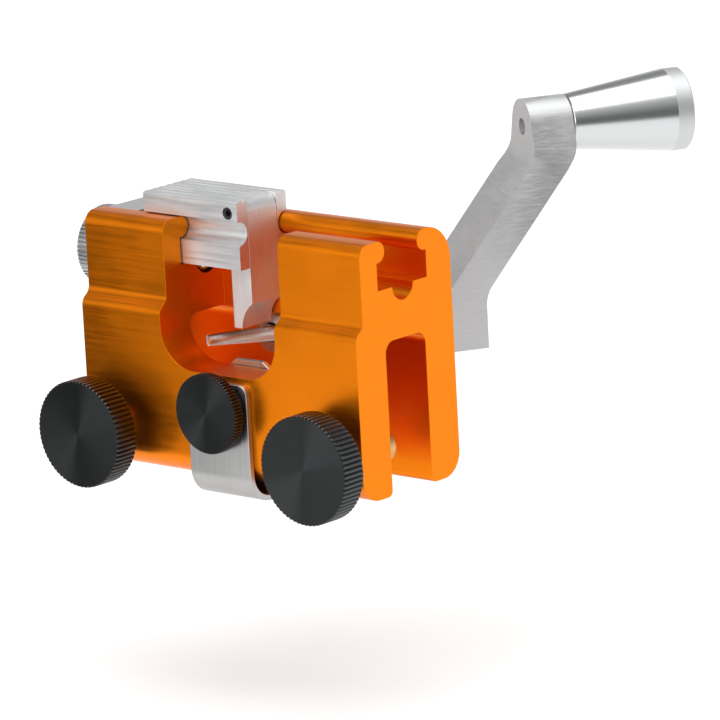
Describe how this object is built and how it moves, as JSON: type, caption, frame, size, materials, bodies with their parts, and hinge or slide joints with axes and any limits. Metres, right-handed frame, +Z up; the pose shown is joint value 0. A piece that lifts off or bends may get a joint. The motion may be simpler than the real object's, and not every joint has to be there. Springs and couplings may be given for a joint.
{
  "type": "chainsaw sharpening jig",
  "caption": "Clamp-on chainsaw sharpening jig: slotted extruded body, hand-cranked burr on a slanted guide tube, screw-fed tooth stop and knurled clamp knobs.",
  "frame": {"origin": "the point of the rear leg's inner face that the bar is clamped against, half way along the body, at the height of the clamp screws", "axes": "+X along the bar, away from the feed knob; -Y towards the side with the clamp knobs; +Z up"},
  "size_m": [0.1141, 0.1387, 0.0909],
  "materials": {
    "anodised_orange": "orange anodised, brushed along the extrusion",
    "blackened_steel": "blackened steel, turned and knurled",
    "machined_aluminium": "machined, satin",
    "polished_aluminium": "turned and polished",
    "bronze": "plain bronze",
    "stainless": "stainless, brushed",
    "carbide": "ground carbide",
    "plated_steel": "nickel-plated steel, knurled",
    "blackened_screw": "blackened steel",
    "screw_steel": "plain steel"
  },
  "bodies": {
    "frame": {"main_body": "anodised_orange", "guide_tube": "screw_steel", "feed_bearing": "machined_aluminium", "bearing_set_screw": "blackened_screw", "feed_washer": "screw_steel", "chain_spring": "stainless"},
    "slide": {"slide_block": "machined_aluminium", "tooth_stop": "machined_aluminium", "stop_set_screw": "blackened_screw", "feed_nut": "bronze", "slide_pin": "screw_steel"},
    "feed": {"feed_screw": "screw_steel", "feed_knob": "plated_steel", "feed_end_screw": "screw_steel"},
    "pad_left": {"clamp_pad_left": "bronze"},
    "clamp_left": {"clamp_screw_left": "screw_steel", "clamp_knob_left": "blackened_steel"},
    "pad_right": {"clamp_pad_right": "bronze"},
    "clamp_right": {"clamp_screw_right": "screw_steel", "clamp_knob_right": "blackened_steel"},
    "lock_seat": {"lock_washer": "screw_steel"},
    "lock": {"lock_knob": "blackened_steel", "lock_screw": "screw_steel"},
    "carriage": {"thrust_washer": "bronze"},
    "crank": {"burr": "carbide", "crank_arm": "machined_aluminium", "crank_set_screw": "blackened_screw", "handle_bolt": "screw_steel", "handle_washer": "screw_steel"},
    "grip": {"handle": "polished_aluminium", "handle_bushing": "bronze"}
  },
  "joints": [
    {"name": "slide_travel", "type": "slide", "parent": "frame", "child": "slide", "axis": [1, 0, 0], "range_m": [-0.003, 0.008]},
    {"name": "feed_turn", "type": "hinge", "parent": "frame", "child": "feed", "pos_m": [-0.05, -0.00735, 0.0407], "axis": [1, 0, 0], "range_deg": [-2880, 1080]},
    {"name": "clamp_left_travel", "type": "slide", "parent": "frame", "child": "pad_left", "axis": [0, 1, 0], "range_m": [-0.0037, 0.005]},
    {"name": "clamp_left_turn", "type": "hinge", "parent": "pad_left", "child": "clamp_left", "pos_m": [-0.037, -0.02735, 0], "axis": [0, 1, 0], "range_deg": [-1332, 1800]},
    {"name": "clamp_right_travel", "type": "slide", "parent": "frame", "child": "pad_right", "axis": [0, 1, 0], "range_m": [-0.0037, 0.005]},
    {"name": "clamp_right_turn", "type": "hinge", "parent": "pad_right", "child": "clamp_right", "pos_m": [0.037, -0.02735, 0], "axis": [0, 1, 0], "range_deg": [-1332, 1800]},
    {"name": "lock_travel", "type": "slide", "parent": "frame", "child": "lock_seat", "axis": [0, 1, 0], "range_m": [-0.006, 0]},
    {"name": "lock_turn", "type": "hinge", "parent": "lock_seat", "child": "lock", "pos_m": [0, -0.02735, 0.0081], "axis": [0, 1, 0], "range_deg": [-2700, 0]},
    {"name": "burr_feed", "type": "slide", "parent": "frame", "child": "carriage", "axis": [0.5, 0.866, 0], "range_m": [-0.0045, 0.016]},
    {"name": "crank_spin", "type": "hinge", "parent": "carriage", "child": "crank", "pos_m": [0.0009, 0.00997, 0.0217], "axis": [0.5, 0.866, 0], "continuous": true},
    {"name": "handle_spin", "type": "hinge", "parent": "crank", "child": "grip", "pos_m": [0.0409, 0.07925, 0.0659], "axis": [0.5, 0.866, 0], "continuous": true}
  ],
  "couplings": [
    {"joint": "slide_travel", "follows": "feed_turn", "m_per_rad": -0.00015915},
    {"joint": "clamp_left_travel", "follows": "clamp_left_turn", "m_per_rad": 0.00015915},
    {"joint": "clamp_right_travel", "follows": "clamp_right_turn", "m_per_rad": 0.00015915},
    {"joint": "lock_travel", "follows": "lock_turn", "m_per_rad": 0.00012732}
  ]
}
